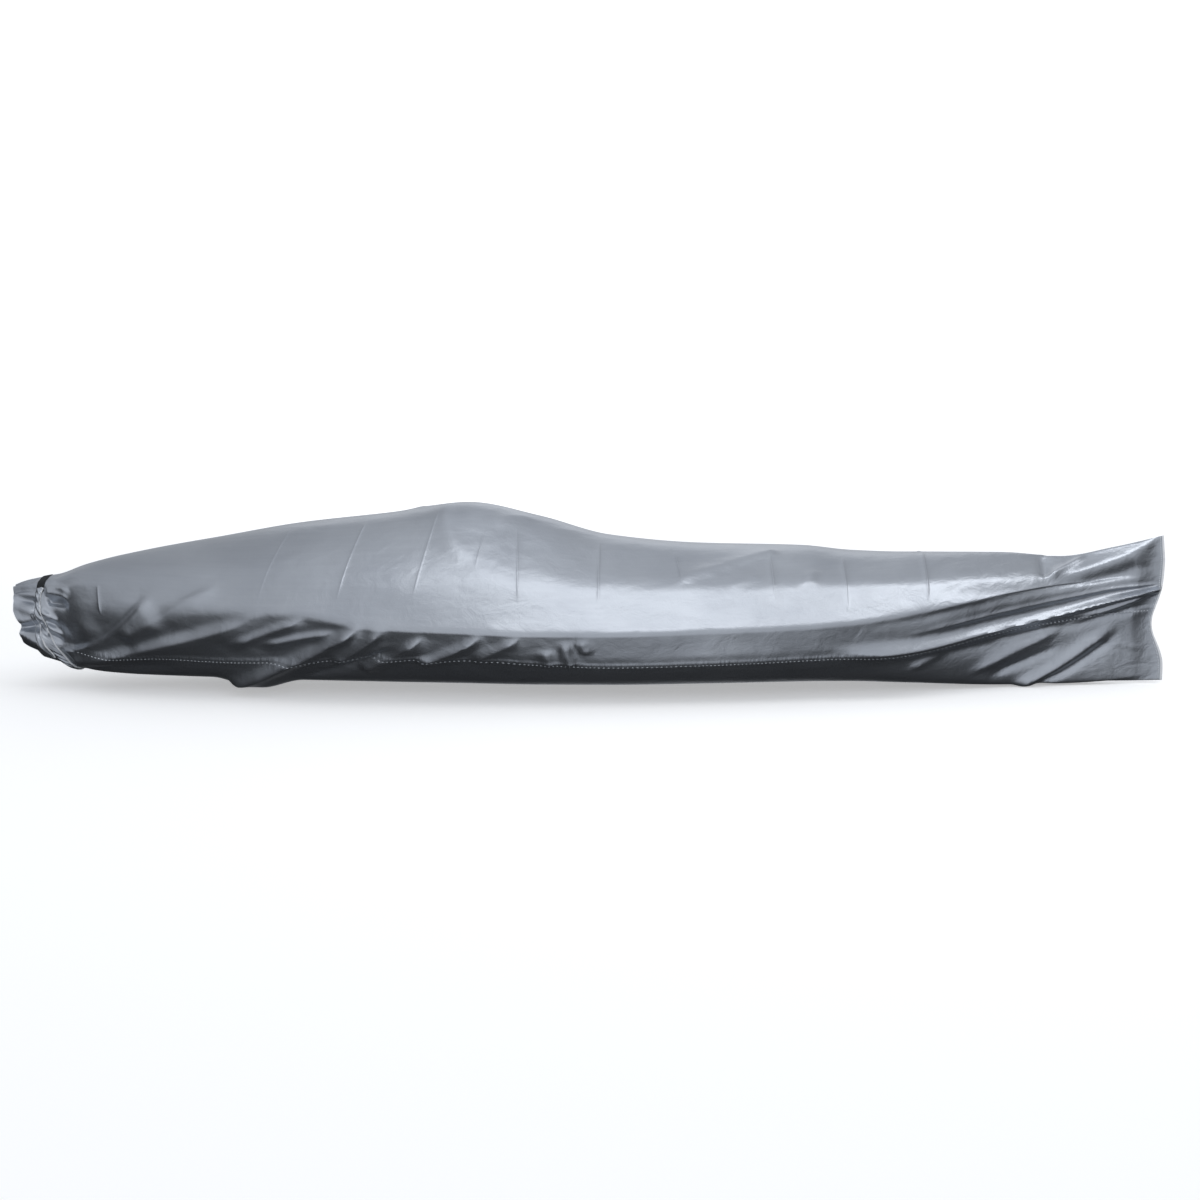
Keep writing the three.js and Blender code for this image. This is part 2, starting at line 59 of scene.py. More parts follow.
# Deck panel. One length of silver coated polyester over the top of the kayak, from side seam to
# side seam. It is drawn into a ruffle by the tie at one end and sewn flat at the other. The
# kayak under it gives it the form, and its slack hangs in folds below the widest line.
STATIONS = np.array([
    # x, crown, shoulder y and z, gunwale y and z, seam y and z, bilge turn y and z, keel, lean
    [-1735, 302, 56, 280, 92, 220, 84, 165, 50, 132, 118, 0.10],
    [-1680, 316, 58, 288, 92, 216, 86, 150, 54, 104, 88, 0.20],
    [-1600, 331, 58, 300, 86, 214, 80, 130, 50, 68, 48, 0.31],
    [-1560, 338, 68, 306, 100, 218, 90, 126, 56, 58, 42, 0.31],
    [-1480, 366, 98, 326, 148, 232, 126, 120, 72, 51, 38, 0.26],
    [-1300, 412, 145, 358, 215, 255, 168, 118, 96, 46, 37, 0.12],
    [-1100, 451, 185, 382, 268, 268, 210, 112, 122, 44, 36, 0.03],
    [-880, 491, 216, 398, 312, 273, 246, 120, 144, 42, 35, 0],
    [-600, 523, 235, 398, 340, 236, 278, 134, 160, 40, 33, 0],
    [-364, 555, 236, 396, 350, 226, 296, 134, 172, 38, 32, 0],
    [-150, 513, 236, 370, 354, 219, 304, 122, 185, 36, 32, 0],
    [60, 455, 232, 352, 352, 219, 308, 115, 190, 36, 32, 0],
    [330, 430, 222, 346, 333, 224, 300, 120, 180, 38, 32, 0],
    [640, 423, 200, 345, 298, 232, 266, 128, 155, 40, 32, 0],
    [790, 408, 182, 345, 270, 240, 240, 132, 138, 38, 28, 0],
    [940, 403, 162, 346, 238, 255, 205, 142, 120, 32, 22, 0],
    [1240, 403, 104, 358, 158, 300, 108, 186, 66, 21, 15, 0],
    [1420, 391, 62, 352, 94, 314, 64, 206, 40, 24, 13, 0],
    [1580, 419, 32, 372, 46, 314, 34, 224, 22, 40, 6, 0],
    [1735, 454, 4, 384, 4, 302, 4, 228, 4, 72, 8, 0],
], float)
MOUTH_X, END_X = STATIONS[0, 0], STATIONS[-1, 0]
TIE_X = -1600.0
TIE_WIDTH = 36.0
LEAN_Z = 190.0
# Softness of each corner, from 0, sharp, to 0.5, round, as rows of x and softness
SOFTNESS = {
    "keel": ([1000, 1400], [0.5, 0.12]),
    "turn": ([0, 1], [0.5, 0.5]),
    "seam": ([-1300, -700, 1000, 1500], [0.5, 0.4, 0.3, 0.4]),
    "gunwale": ([-1350, -1000, -400, 1100, 1500], [0.4, 0.13, 0.08, 0.10, 0.3]),
    "shoulder": ([-500, 0, 900, 1300], [0.45, 0.18, 0.18, 0.40]),
    "crown": ([1000, 1400], [0.5, 0.08]),
}
SEAM, ROUND = 2, 10    # v at the near seam, and once round from the keel


def smooth_slopes(x, y):
    """Slope of each column at each station: the weighted harmonic mean of the slopes on either
    side, or 0 at a peak, so that the curve through the stations never overshoots."""
    step = np.diff(x)[:, None]
    slope = np.diff(y, axis=0) / step
    before, after = slope[:-1], slope[1:]
    w_before, w_after = 2 * step[1:] + step[:-1], step[1:] + 2 * step[:-1]
    same_way = before * after > 0
    safe = np.where(same_way, 1, np.nan)
    mean = (w_before + w_after) / (w_before / (before * safe) + w_after / (after * safe))
    return np.concatenate([slope[:1], np.where(same_way, mean, 0), slope[-1:]])


STATION_X, STATION_SIZES = STATIONS[:, 0], STATIONS[:, 1:]
with np.errstate(divide="ignore", invalid="ignore"):
    STATION_SLOPES = smooth_slopes(STATION_X, STATION_SIZES)


def sizes_at(x):
    """Sizes at x: the cubic through two stations and their slopes."""
    i = np.clip(np.searchsorted(STATION_X, x, side="right") - 1, 0, len(STATION_X) - 2)
    step = (STATION_X[i + 1] - STATION_X[i])[..., None]
    t = np.clip((x - STATION_X[i])[..., None] / step, 0, 1)
    return ((1 + 2 * t) * (1 - t) ** 2 * STATION_SIZES[i]
            + t * (1 - t) ** 2 * step * STATION_SLOPES[i]
            + t * t * (3 - 2 * t) * STATION_SIZES[i + 1]
            + t * t * (t - 1) * step * STATION_SLOPES[i + 1])


def corners_at(x):
    """Ten control corners of the section at x, up the near side and down the far one, with their
    softness s. Each is pushed out, P = (Q - s/4 * (P before + P after)) / (1 - s/2), in five
    rounds, so that the rounded section passes through the sizes Q."""
    sizes = np.moveaxis(sizes_at(x), -1, 0)
    crown, sh_y, sh_z, gun_y, gun_z, seam_y, seam_z, turn_y, turn_z, keel, _ = sizes
    zero = np.zeros_like(crown)
    y = np.stack([zero, -turn_y, -seam_y, -gun_y, -sh_y, zero, sh_y, gun_y, seam_y, turn_y], -1)
    z = np.stack([keel, turn_z, seam_z, gun_z, sh_z, crown, sh_z, gun_z, seam_z, turn_z], -1)
    half = [np.interp(x, *by_x) for by_x in SOFTNESS.values()]
    soft = np.stack([*half, *half[4:0:-1]], -1)[..., None]
    wanted = np.stack([y, z], -1)
    points = wanted
    for _ in range(5):
        beside = np.roll(points, 1, -2) + np.roll(points, -1, -2)
        points = (wanted - 0.25 * soft * beside) / (1 - 0.5 * soft)
    return points, soft[..., 0]


def on_section(corners, soft, v):
    """Point of the section at v, counted 0 at the keel, 2 and 8 at the seams and 5 at the crown:
    straight runs between corners, with each corner rounded by a parabola."""
    k = np.round(v).astype(int)
    u = (v - k)[..., None]
    here, after, before = (
        np.take_along_axis(corners, ((k + d) % ROUND)[..., None, None], -2)[..., 0, :]
        for d in (0, 1, -1))
    f = np.take_along_axis(soft, (k % ROUND)[..., None], -1)
    t = np.clip(0.5 + 0.5 * u / f, 0, 1)
    rounded = here + f * ((1 - t) ** 2 * (before - here) + t * t * (after - here))
    straight = here + np.where(u > 0, after - here, before - here) * np.abs(u)
    return np.where(np.abs(u) < f, rounded, straight)


# Distance round the section from the keel, on a grid of x and v, which the folds are placed by.
# The grid reaches past both ends, so that places just outside them can be read too.
PAST_ENDS = 130.0
GIRTH_X = np.linspace(MOUTH_X - PAST_ENDS, END_X + PAST_ENDS, 380)
GIRTH_V = np.linspace(0, ROUND, 401)
ring_corners, ring_soft = corners_at(GIRTH_X)
ring_v = np.broadcast_to(GIRTH_V, (len(GIRTH_X), len(GIRTH_V)))
ring = on_section(ring_corners[:, None], ring_soft[:, None], ring_v)
ring_steps = np.linalg.norm(np.diff(ring, axis=1), axis=-1)
GIRTH = np.concatenate([np.zeros((len(GIRTH_X), 1)), np.cumsum(ring_steps, 1)], 1)


def girth_at(x, v):
    """Distance up the near side and round from the keel, read off the grid, for v from -5 to 10,
    and the whole girth at x."""
    i = np.clip((x - GIRTH_X[0]) / (GIRTH_X[1] - GIRTH_X[0]), 0, len(GIRTH_X) - 1.001)
    j = np.clip((v % ROUND) / GIRTH_V[1], 0, len(GIRTH_V) - 1.001)
    row, col = i.astype(int), j.astype(int)
    di, dj = i - row, j - col
    found = ((1 - di) * ((1 - dj) * GIRTH[row, col] + dj * GIRTH[row, col + 1])
             + di * ((1 - dj) * GIRTH[row + 1, col] + dj * GIRTH[row + 1, col + 1]))
    full = (1 - di) * GIRTH[row, -1] + di * GIRTH[row + 1, -1]
    return np.where(v < 0, found - full, found), full


def up_from_seams(x, v):
    """Distance up the cloth from the near seam and from the far one, and the share of the way
    round from the keel."""
    girth, full = girth_at(x, v)
    near = girth_at(x, np.full_like(v, SEAM))[0]
    far = girth_at(x, np.full_like(v, ROUND - SEAM))[0]
    return girth - near, far - girth - np.where(v < SEAM, full, 0), girth / full


def ease(t):
    """Smooth step from 0 to 1."""
    t = np.clip(t, 0, 1)
    return t * t * (3 - 2 * t)


# Folds. Each runs from (x0, s0) to (x1, s1), s being the distance up from the side seam, and
# bows at its middle. It stands out by rise, falls off over up above its crest and down below it,
# is rounded where sharp is 0 and creased at 1, fades in and out over shares of its length, and is
# tip times as wide at its end.
FOLDS = np.array([
    # x0, s0, x1, s1, bow, rise, up, down, sharp, fade in, fade out, tip
    # drag folds that start at the tie and climb to the gunwale, each short and bright above its
    # crest and long and dark below it
    [-1605, -14, -1258, 204, -32, 17, 7, 46, 0.5, 0.05, 0.14, 1.6],
    [-1470, 70, -1262, 215, -14, -4, 26, 14, 0.1, 0.3, 0.2, 1],
    [-1385, 67, -1050, 262, -9, 16, 16, 40, 0.3, 0.12, 0.3, 1],
    [-1595, -41, -920, 170, -14, 23, 17, 44, 0.3, 0.05, 0.22, 1],
    [-1590, -70, -1150, -30, 0, -8, 18, 24, 0.1, 0.1, 0.5, 1],
    [-1055, 54, -805, 152, 2, 13, 11, 24, 0.3, 0.25, 0.25, 1],
    [-955, 58, -715, 104, 4, 10, 10, 20, 0.3, 0.25, 0.25, 1],
    [-1085, -92, -640, 132, -15, 26, 15, 34, 0.35, 0.1, 0.16, 1],
    # slack pouch under the hull, and the folds that follow it along the side
    [-1130, -150, -850, -120, 0, 26, 85, 60, 0, 0.45, 0.45, 1],
    [-745, -10, -575, 124, -8, 14, 26, 20, 0.35, 0.15, 0.3, 1],
    [-850, -100, -490, 70, -6, -14, 14, 22, 0.3, 0.2, 0.3, 1],
    [-668, -50, -466, 92, 1, 19, 11, 34, 0.4, 0.1, 0.28, 1],
    [-500, -8, -300, 100, -8, 17, 11, 30, 0.4, 0.12, 0.3, 1],
    [-342, 0, -190, 98, 3, 12, 11, 26, 0.4, 0.2, 0.3, 1],
    [-133, 60, -112, -10, 0, 8, 20, 16, 0.5, 0.3, 0.2, 1],
    [-77, 97, -55, 0, 0, 10, 14, 12, 0.5, 0.35, 0.1, 1],
    [-37, 98, 0, 40, 0, 8, 18, 12, 0.4, 0.35, 0.3, 1],
    # long ridges that gather at the sewn end
    [690, 18, 1735, 68, -21, 30, 22, 36, 0.4, 0.2, 0.02, 0.3],
    [820, -34, 1700, 14, -18, -10, 22, 30, 0.1, 0.3, 0.1, 0.4],
    [860, 52, 1735, 78, 8, 7, 12, 12, 0.4, 0.35, 0.05, 0.4],
    [700, 95, 1700, 110, 10, -9, 30, 26, 0, 0.35, 0.2, 0.4],
    [950, 174, 1719, 133, -21, -9, 34, 34, 0, 0.35, 0.15, 0.5],
    [1340, 170, 1725, 232, -48, 11, 34, 40, 0.2, 0.35, 0.15, 0.6],
    [1400, -22, 1735, 63, -8, 9, 12, 12, 0.4, 0.3, 0.05, 0.5],
    [1060, -5, 1380, -70, 0, 4, 10, 8, 0.6, 0.25, 0.25, 1],
    [1471, -66, 1705, -125, 0, 4, 10, 8, 0.6, 0.25, 0.25, 1],
    # folds that cross the hanging lower corner
    [1275, -205, 1600, -30, -10, 15, 22, 22, 0.3, 0.15, 0.3, 0.8],
    [1335, -205, 1610, -62, -10, -11, 14, 18, 0.3, 0.15, 0.3, 0.8],
    [1120, -130, 1450, -10, 0, 12, 22, 18, 0.3, 0.3, 0.3, 0.8],
    [1180, -150, 1430, -75, 0, -10, 14, 16, 0.3, 0.3, 0.3, 0.8],
    [930, -80, 1065, -22, 0, 8, 18, 14, 0.3, 0.35, 0.35, 1],
    # dent in the top before the corner of the sewn end
    [1361, 270, 1349, 160, 0, -11, 16, 26, 0.4, 0.05, 0.2, 1],
    [1360, 158, 1500, 205, 0, 12, 20, 14, 0.5, 0.15, 0.3, 1],
    # slanting ridges and creases on the deck
    [236, 276, 575, 428, 0, 9, 34, 13, 0.35, 0.2, 0.12, 1],
    [403, 250, 505, 300, 0, 3, 26, 10, 0.4, 0.3, 0.3, 1],
    [623, 233, 663, 319, 0, 7, 20, 14, 0.4, 0.3, 0.3, 1],
    [-423, 600, -335, 330, -40, 7, 24, 50, 0.2, 0.1, 0.3, 1],
    [-299, 488, -155, 551, 0, 6, 16, 16, 0.4, 0.3, 0.3, 1],
    [-893, 481, -665, 529, 0, 2, 8, 8, 1, 0.15, 0.15, 1],
    [-659, 519, -471, 503, 0, 2, 8, 8, 1, 0.15, 0.15, 1],
    [-189, 471, 39, 536, 0, 2, 8, 8, 1, 0.15, 0.15, 1],
    # puckers beside the tie: a pocket with a bright lip over a hollow, and small bumps under it
    [-1602, 170, -1508, 182, 10, 9, 12, 16, 0.2, 0.15, 0.3, 1],
    [-1600, 160, -1518, 160, 4, 9, 10, 8, 0.5, 0.15, 0.25, 1],
    [-1600, 138, -1520, 142, 0, -14, 12, 14, 0.1, 0.15, 0.3, 1],
    [-1585, 60, -1430, 84, 0, 9, 40, 34, 0, 0.25, 0.5, 1],
    [-1626, 112, -1598, 90, 0, 6, 10, 10, 0.2, 0.2, 0.3, 1],
    [-1630, 98, -1574, 84, 0, 10, 9, 8, 0.3, 0.2, 0.35, 1],
    [-1626, 76, -1580, 62, 0, -8, 8, 9, 0.2, 0.2, 0.35, 1],
    [-1628, 60, -1576, 40, 0, 9, 9, 8, 0.3, 0.2, 0.35, 1],
    [-1628, 34, -1584, 14, 0, -8, 9, 9, 0.2, 0.2, 0.35, 1],
    # lobes of the ruffle
    [-1628, 130, -1750, 138, 0, -8, 12, 12, 0, 0.15, 0.01, 1],
    [-1634, 94, -1750, 104, 0, 9, 16, 14, 0, 0.2, 0.01, 1.4],
    [-1620, 72, -1745, -30, 6, -24, 14, 18, 0.1, 0.12, 0.05, 1.5],
    [-1632, 34, -1745, 4, 0, 20, 9, 64, 0.1, 0.25, 0.01, 1],
    [-1668, -95, -1770, -95, 0, -20, 50, 50, 0, 0.12, 0.01, 1],
], float)
CREASE_FALL = 1.6


def fold_heights(x, s):
    """Sum over the folds: rise * profile(off the crest) * fade(along it), the profile being
    (1 - sharp) * exp(-q^2) + sharp * exp(-1.6 q), with q the distance off the crest in widths."""
    height = np.zeros_like(s)
    for x0, s0, x1, s1, bow, rise, up, down, sharp, fade_in, fade_out, tip in FOLDS:
        length = math.hypot(x1 - x0, s1 - s0)
        ex, es = (x1 - x0) / length, (s1 - s0) / length
        t = ((x - x0) * ex + (s - s0) * es) / length
        off = math.copysign(1, ex) * ((s - s0) * ex - (x - x0) * es) - bow * 4 * t * (1 - t)
        q = np.abs(off) / (np.where(off > 0, up, down) * (1 + (tip - 1) * np.clip(t, 0, 1)))
        profile = (1 - sharp) * np.exp(-q * q) + sharp * np.exp(-CREASE_FALL * q)
        height += rise * profile * ease(t / fade_in) * ease((1 - t) / fade_out)
    return height


# Creases from the flat pack, about 250 mm apart, straight across the cloth on both sides:
# place along the cloth, lowest and highest point up from the seam, rise, width
PACK_CREASES = np.array([
    [-1421, 130, 225, 2.2, 6],
    [-950, 190, 520, 0.9, 4],
    [-721, 195, 540, 1.1, 4],
    [-506, 205, 560, 0.9, 4],
    [-345, 320, 440, 1.2, 4],
    [-203, 200, 470, 1.5, 5],
    [24, 210, 480, 1.8, 5],
    [277, 300, 430, 1.8, 5],
    [533, 200, 395, 2.4, 5],
    [744, 145, 385, 2.6, 5],
    [986, 150, 400, 3.0, 6],
], float)
CREASE_FADE = 0.15     # share of its length that a crease takes to fade at either end


def crease_heights(u, s):
    """Sum over the pack creases: rise * exp(-1.6 * distance / width), faded at both ends."""
    height = np.zeros_like(s)
    for place, low, high, rise, width in PACK_CREASES:
        ridge = rise * np.exp(-CREASE_FALL * np.abs(u - place) / width)
        fade = CREASE_FADE * (high - low)
        height += ridge * ease((s - low) / fade) * ease((high - s) / fade)
    return height


# Gathers that the tie draws in: how many go round, how deep they are by x, and what share of that
# depth they have by v. Their phase drifts round the mouth and wavers along the ruffle, in radians.
GATHERS = 11
GATHER_X = [-1735, -1690, -1640, -1620, -1580, -1560, -1500, -1400]
GATHER_DEPTH = [20, 18, 10, 4, 4, 8, 4, 0]
GATHER_V = [0, 1.3, 2.0, 2.8, 3.8, 5, 10]
GATHER_SHARE = [1, 0.45, 0.4, 0.35, 0.6, 1, 1]
DRIFT, DRIFT_START = 1.6, 0.7
WAVER, WAVER_LENGTH = 1.1, 38.0


def gather_heights(x, v, turn):
    """depth * (cos(phase) - 1) / 2, where the phase drifts round the mouth and, in the ruffle, wavers
    along it, so that no two gathers are alike."""
    into = (np.minimum(x, TIE_X - TIE_WIDTH / 2) - MOUTH_X) / WAVER_LENGTH
    phase = 2 * np.pi * GATHERS * turn + DRIFT * np.sin(4 * np.pi * turn + DRIFT_START)
    phase = phase + WAVER * np.sin(into + 8 * np.pi * turn)
    depth = np.interp(x, GATHER_X, GATHER_DEPTH) * np.interp(v % ROUND, GATHER_V, GATHER_SHARE)
    return depth * 0.5 * (np.cos(phase) - 1)


# The far side has the near side's folds, moved and stretched a little, and a tenth weaker. Past
# JOIN_X both walls meet and fold as one. Its share goes by v, and blends over keel and crown.
FAR_MOVED, FAR_STRETCH, FAR_DROP, FAR_DEPTH = 85, 1.04, 6, 0.9
JOIN_X, JOIN_OVER = 1250, 300
FAR_V = [0, 0.4, 4.6, 5.4, 9.6, 10]
FAR_SHARE = [0.5, 0, 0, 1, 1, 0.5]


def heights(u, x, v):
    """Folds, pack creases and gathers together, as distances out of the section at x."""
    near, far, turn = up_from_seams(x, v)
    together = ease((x - JOIN_X) / JOIN_OVER)
    far_folds = FAR_DEPTH * fold_heights(x + FAR_MOVED, FAR_STRETCH * far - FAR_DROP)
    far_own = far_folds + crease_heights(u, far)
    far_side = (1 - together) * far_own - together * fold_heights(x, far)
    share = ease(np.interp(v % ROUND, FAR_V, FAR_SHARE))
    sides = (1 - share) * (fold_heights(x, near) + crease_heights(u, near)) + share * far_side
    return sides + gather_heights(x, v, turn)


# The sewn end is pressed to a lip of twice PRESSED, and its cut edge is drawn in by a hollow and
# at the upper corner, while the lower corner stands out, all from SCALLOP_FROM on
PRESS_X, PRESS_OVER, PRESSED = 1640, 95, 1.5
SCALLOP_FROM = 1560
HOLLOW_DEPTH, HOLLOW_Z, HOLLOW_SPREAD = 30, 190, 75
UPPER_CORNER, UPPER_Z, UPPER_SPAN = 8, 380, 70
LOWER_CORNER, LOWER_Z, LOWER_SPAN = 12, 150, 80


def end_scallop(x, z):
    """How far the sewn end is drawn in at x and height z: the sum of a bell for the hollow and a
    ramp for each corner, times the square of the way to the end."""
    to_end = np.clip((x - SCALLOP_FROM) / (END_X - SCALLOP_FROM), 0, 1) ** 2
    hollow = HOLLOW_DEPTH * np.exp(-(((z - HOLLOW_Z) / HOLLOW_SPREAD) ** 2))
    upper = UPPER_CORNER * np.clip((z - UPPER_Z) / UPPER_SPAN, 0, 1)
    lower = LOWER_CORNER * np.clip((LOWER_Z - z) / LOWER_SPAN, 0, 1)
    return to_end * (hollow + upper - lower)


# How far the cloth's cross threads lean along x for each millimetre up from the seam
GRAIN_X = [-1421, -950, -721, -506, -345, -203, 24, 277, 533, 744, 986, 1300]
GRAIN_LEAN = [0, 0.218, 0.194, 0.183, 0.15, -0.044, 0.018, -0.115, 0, 0.025, 0.064, 0]
GRAIN_S = 200.0

# How far the hem of the ruffle stops short of the mouth, by v, from HEM_X on
HEM_X, HEM_FADE = -1655, 80
HEM_V = [0, 0.7, 1.6, 2.2, 2.7, 3.3, 3.7, 4.5, 5, 6, 7, 8, 9, 10]
HEM_SHORT = [14, 20, 24, 26, 36, 20, 23, 12, 8, 4, 16, 2, 16, 14]
NUDGE = 0.02           # step of v by which the direction round the section is found


def cover(u, v):
    """Points of the cloth's outer face for places u along the cloth and v round it, the direction
    out of it, and the place on the flat cloth. x = u + grain lean * (s - 200), and the hem stops
    short. The form is the section at x, pressed flat at the sewn end, leaning by its height and
    drawn in by the scallop. The folds, creases and gathers push it out across the section."""
    u, v = np.broadcast_arrays(np.asarray(u, float), np.asarray(v, float))
    near, far, _ = up_from_seams(u, v)
    cloth = np.stack([u, near], -1) * MM
    x = u + np.interp(u, GRAIN_X, GRAIN_LEAN) * (np.clip(np.minimum(near, far), 0, None) - GRAIN_S)
    x = x + np.interp(v % ROUND, HEM_V, HEM_SHORT) * ease((HEM_X - u) / HEM_FADE)
    corners, soft = corners_at(x)
    y, z = np.moveaxis(on_section(corners, soft, v), -1, 0)
    step = on_section(corners, soft, v + NUDGE) - on_section(corners, soft, v - NUDGE)
    step /= np.maximum(np.linalg.norm(step, axis=-1, keepdims=True), 1e-9)
    outward = np.stack([np.zeros_like(x), -step[..., 1], step[..., 0]], -1)
    pressed = ease((x - PRESS_X) / PRESS_OVER)
    flat_y = y * (1 - pressed) + PRESSED * np.tanh(y) * pressed
    lean = sizes_at(x)[..., -1]
    along = x - lean * (z - LEAN_Z) - end_scallop(x, z)
    surface = np.stack([along, flat_y, z], -1) + heights(u, x, v)[..., None] * outward
    return surface * MM, outward * MM, cloth


def seam_place(u, s, far=False):
    """v of a place that is s up from the side seam at u, close to the seam."""
    at = ROUND - SEAM if far else SEAM
    seam = np.full_like(u, at)
    half_step = 0.05
    slope = (girth_at(u, seam + half_step)[0] - girth_at(u, seam - half_step)[0]) / (2 * half_step)
    return at + (-s if far else s) / slope


def runs(table):
    """Evenly stepped values through rows of (from, to, steps), each value once."""
    parts = [np.linspace(a, b, int(n) + 1)[1:] for a, b, n in table]
    return np.concatenate([[table[0][0]], *parts])


CLOTH = 1.2            # thickness, drawn heavier than real cloth so that the edges show
SEAM_LAP = 4.0         # the deck panel's edge reaches this far below the seam
LAP_RISE = 1.45        # and stands this far out over the hull panel's edge
LAP_TO, LAP_FADE = 6.0, 10.0    # the step fades out from here up, over this distance
LEAST_STEP = 0.8       # between two rows of points
# Rows are closest at the tie and where the long ridges run, and five follow each pack crease
LENGTHWISE = runs([(-1735, -1618, 36), (-1618, -1500, 28), (-1500, -200, 130), (-200, 900, 76),
                   (900, 1700, 104), (1700, 1735, 8)])
beside_creases = (PACK_CREASES[:, :1] + np.array([-5, -2.5, 0, 2.5, 5])).ravel()
rows = np.unique(np.concatenate([LENGTHWISE, beside_creases]))
rows = rows[np.concatenate([[True], np.diff(rows) > LEAST_STEP])]
rows[-1] = END_X


def panel_grid(v_steps, first, last):
    """Grid of u and v for a panel whose two long edges run at v of first and last, and its
    distances up from the near seam and the far one."""
    grid_u, grid_v = np.broadcast_arrays(rows[:, None], v_steps[None, :])
    grid_v = grid_v.copy()
    grid_v[:, 0] = first
    grid_v[:, -1] = last
    return grid_u, grid_v, *up_from_seams(grid_u, grid_v)[:2]


def sheet_object(name, outer, inner, cloth, from_seam, closed_ring=False):
    """Closed sheet between an outer and an inner grid of points, rows by columns, with quads on
    both faces and round the rim. The UV map holds cloth, in metres along and across, and two
    attributes hold the distance from the side seam in metres and 1 on the cut ends."""
    n, m = outer.shape[:2]
    points = np.concatenate([outer.reshape(-1, 3), inner.reshape(-1, 3)])
    ids = np.arange(n * m).reshape(n, m)
    if closed_ring:
        ids = np.concatenate([ids, ids[:, :1]], 1)
    a, b, c, d = ids[:-1, :-1], ids[1:, :-1], ids[1:, 1:], ids[:-1, 1:]
    quads = [np.stack([a, b, c, d], -1), np.stack([a, d, c, b], -1) + n * m]
    rims = [(ids[0, :-1], ids[0, 1:]), (ids[-1, 1:], ids[-1, :-1])]
    if not closed_ring:
        rims += [(ids[1:, 0], ids[:-1, 0]), (ids[:-1, -1], ids[1:, -1])]
    for p, q in rims:
        quads.append(np.stack([p, q, q + n * m, p + n * m], -1))
    faces = np.concatenate([q.reshape(-1, 4) for q in quads])
    mesh = bpy.data.meshes.new(name)
    mesh.vertices.add(len(points))
    mesh.vertices.foreach_set("co", points.astype(np.float32).ravel())
    mesh.loops.add(faces.size)
    mesh.loops.foreach_set("vertex_index", faces.astype(np.int32).ravel())
    mesh.polygons.add(len(faces))
    mesh.polygons.foreach_set("loop_start", np.arange(0, faces.size, 4, dtype=np.int32))
    mesh.polygons.foreach_set("use_smooth", np.ones(len(faces), bool))
    uv = mesh.uv_layers.new(name="cloth")
    place = np.concatenate([cloth.reshape(-1, 2)] * 2)[faces.ravel()]
    uv.data.foreach_set("uv", place.astype(np.float32).ravel())
    cut = np.zeros((n, m))
    cut[[0, -2, -1]] = 1
    for label, values in (("from_seam", from_seam * MM), ("cut_edge", cut)):
        kept = mesh.attributes.new(label, "FLOAT", "POINT")
        kept.data.foreach_set("value", np.concatenate([values.ravel()] * 2).astype(np.float32))
    mesh.update(calc_edges=True)
    mesh.validate()
    mesh.set_sharp_from_angle(angle=math.radians(72))
    made = bpy.data.objects.new(name, mesh)
    bpy.context.scene.collection.objects.link(made)
    return made


def linear(hex_colour):
    """sRGB hex to linear RGBA."""
    value = np.array([int(hex_colour[i:i + 2], 16) / 255 for i in (1, 3, 5)])
    rgb = np.where(value <= 0.04045, value / 12.92, ((value + 0.055) / 1.055) ** 2.4)
    return (*rgb, 1.0)


def add(tree, kind, inputs=(), **settings):
    """A node with its settings, and its inputs set to a value or linked from an output."""
    made = tree.nodes.new(kind)
    for name, value in settings.items():
        setattr(made, name, value)
    for name, value in dict(inputs).items():
        if isinstance(value, bpy.types.NodeSocket):
            tree.links.new(value, made.inputs[name])
        else:
            made.inputs[name].default_value = value
    return made


